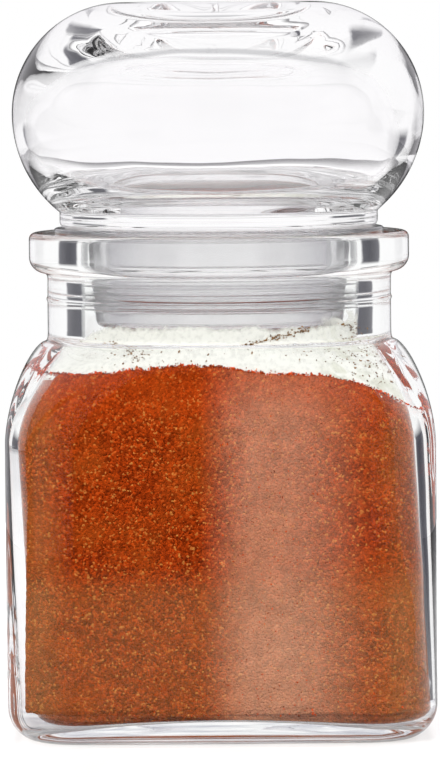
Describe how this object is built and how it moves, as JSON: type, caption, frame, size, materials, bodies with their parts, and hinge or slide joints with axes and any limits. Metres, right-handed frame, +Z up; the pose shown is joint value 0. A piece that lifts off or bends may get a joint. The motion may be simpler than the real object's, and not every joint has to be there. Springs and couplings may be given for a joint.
{
  "type": "square glass spice jar with hollow glass stopper lid",
  "caption": "Square clear glass jar with a round neck, a hollow glass stopper lid in a milky plastic seal, filled with a reddish ground spice.",
  "frame": {"origin": "middle of the jar's base, on the surface it stands on", "axes": "+Z up through the lid, -Y towards the front face, +X to the right of the front"},
  "size_m": [0.06, 0.06, 0.1018],
  "materials": {
    "jar_glass": "clear polished glass",
    "lid_glass": "clear polished glass",
    "seal_plastic": "milky translucent soft plastic",
    "spice": "fine dry orange-brown powder"
  },
  "bodies": {
    "root": {"jar": "jar_glass", "lid": "lid_glass", "seal": "seal_plastic", "ground_spice": "spice"}
  },
  "joints": []
}
